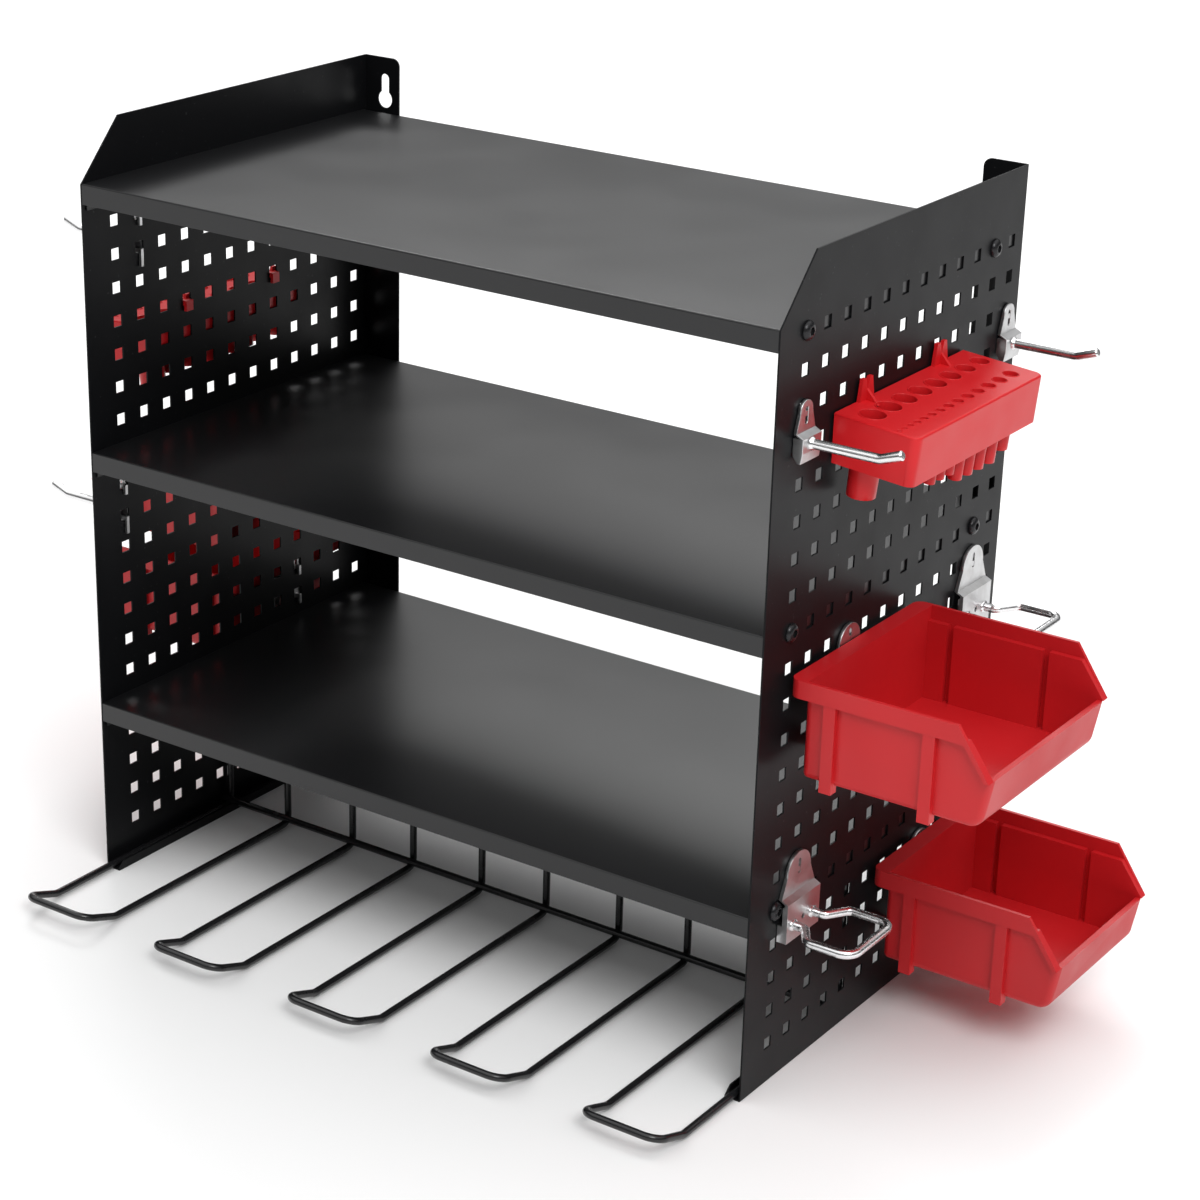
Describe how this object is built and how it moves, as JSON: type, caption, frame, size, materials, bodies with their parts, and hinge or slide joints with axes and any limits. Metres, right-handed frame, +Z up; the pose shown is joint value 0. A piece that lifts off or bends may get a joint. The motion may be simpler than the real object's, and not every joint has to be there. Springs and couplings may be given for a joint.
{
  "type": "pegboard tool stand",
  "caption": "Black steel tool stand with perforated sides, shelves, a wire rack for power tools, and lift-off hooks, red open bins and bit holders on its sides.",
  "frame": {"origin": "middle of the bottom of the whole stand with its accessories on", "axes": "+Z up, -Y towards the open front where the wire loops stand out, +Y towards the wall, X across the stand from one pegboard side to the other"},
  "size_m": [0.698, 0.338, 0.465],
  "materials": {
    "black_panel": "satin black powder coat",
    "black_shelf": "semi-gloss black powder coat",
    "black_wire": "glossy black coated wire",
    "black_screw": "black zinc screws",
    "nut_steel": "zinc plated",
    "zinc_plate": "bright zinc plated sheet",
    "zinc_wire": "bright zinc plated wire",
    "bin_red": "satin red moulded polypropylene",
    "holder_red": "semi-gloss bright red moulded plastic"
  },
  "bodies": {
    "stand": {"side_panel_left": "black_panel", "side_panel_right": "black_panel", "shelf_top": "black_shelf", "shelf_middle": "black_shelf", "shelf_bottom": "black_shelf", "shelf_screws": "black_screw", "shelf_nuts": "nut_steel", "wire_loop_1": "black_wire", "wire_loop_2": "black_wire", "wire_loop_3": "black_wire", "wire_loop_4": "black_wire", "wire_loop_5": "black_wire", "rack_cross_wire": "black_wire", "rack_strip": "black_wire", "rack_studs": "black_shelf", "rack_nuts": "nut_steel", "hanger_right_wide": "zinc_plate", "hanger_right_narrow": "zinc_plate", "hanger_left_wide": "zinc_plate", "hanger_left_narrow": "zinc_plate"},
    "bin_right_wide_body": {"bin_right_wide": "bin_red"},
    "bin_right_narrow_body": {"bin_right_narrow": "bin_red"},
    "bin_left_wide_body": {"bin_left_wide": "bin_red"},
    "bin_left_narrow_body": {"bin_left_narrow": "bin_red"},
    "bit_holder_right_body": {"bit_holder_right": "holder_red"},
    "bit_holder_left_body": {"bit_holder_left": "holder_red"},
    "hook_right_front": {"hook_plate_right_front": "zinc_plate", "hook_prong_right_front": "zinc_wire"},
    "hook_right_rear": {"hook_plate_right_rear": "zinc_plate", "hook_prong_right_rear": "zinc_wire"},
    "hook_left_upper": {"hook_plate_left_upper": "zinc_plate", "hook_prong_left_upper": "zinc_wire"},
    "hook_left_lower": {"hook_plate_left_lower": "zinc_plate", "hook_prong_left_lower": "zinc_wire"},
    "ring_hook_right_front": {"ring_plate_right_front": "zinc_plate", "ring_wire_right_front": "zinc_wire"},
    "ring_hook_right_rear": {"ring_plate_right_rear": "zinc_plate", "ring_wire_right_rear": "zinc_wire"}
  },
  "joints": [
    {"name": "lift_bin_right_wide", "type": "slide", "parent": "stand", "child": "bin_right_wide_body", "axis": [0, 0, 1], "range_m": [0, 0.0085]},
    {"name": "lift_bin_right_narrow", "type": "slide", "parent": "stand", "child": "bin_right_narrow_body", "axis": [0, 0, 1], "range_m": [0, 0.0085]},
    {"name": "lift_bin_left_wide", "type": "slide", "parent": "stand", "child": "bin_left_wide_body", "axis": [0, 0, 1], "range_m": [0, 0.0085]},
    {"name": "lift_bin_left_narrow", "type": "slide", "parent": "stand", "child": "bin_left_narrow_body", "axis": [0, 0, 1], "range_m": [0, 0.0085]},
    {"name": "lift_bit_holder_right", "type": "slide", "parent": "stand", "child": "bit_holder_right_body", "axis": [0, 0, 1], "range_m": [0, 0.0035]},
    {"name": "lift_bit_holder_left", "type": "slide", "parent": "stand", "child": "bit_holder_left_body", "axis": [0, 0, 1], "range_m": [0, 0.0035]},
    {"name": "unhook_right_front", "type": "slide", "parent": "stand", "child": "hook_right_front", "axis": [0, 0, 1], "range_m": [0, 0.0035]},
    {"name": "unhook_right_rear", "type": "slide", "parent": "stand", "child": "hook_right_rear", "axis": [0, 0, 1], "range_m": [0, 0.0035]},
    {"name": "unhook_left_upper", "type": "slide", "parent": "stand", "child": "hook_left_upper", "axis": [0, 0, 1], "range_m": [0, 0.0035]},
    {"name": "unhook_left_lower", "type": "slide", "parent": "stand", "child": "hook_left_lower", "axis": [0, 0, 1], "range_m": [0, 0.0035]},
    {"name": "unhook_ring_right_front", "type": "slide", "parent": "stand", "child": "ring_hook_right_front", "axis": [0, 0, 1], "range_m": [0, 0.0035]},
    {"name": "unhook_ring_right_rear", "type": "slide", "parent": "stand", "child": "ring_hook_right_rear", "axis": [0, 0, 1], "range_m": [0, 0.0035]}
  ]
}
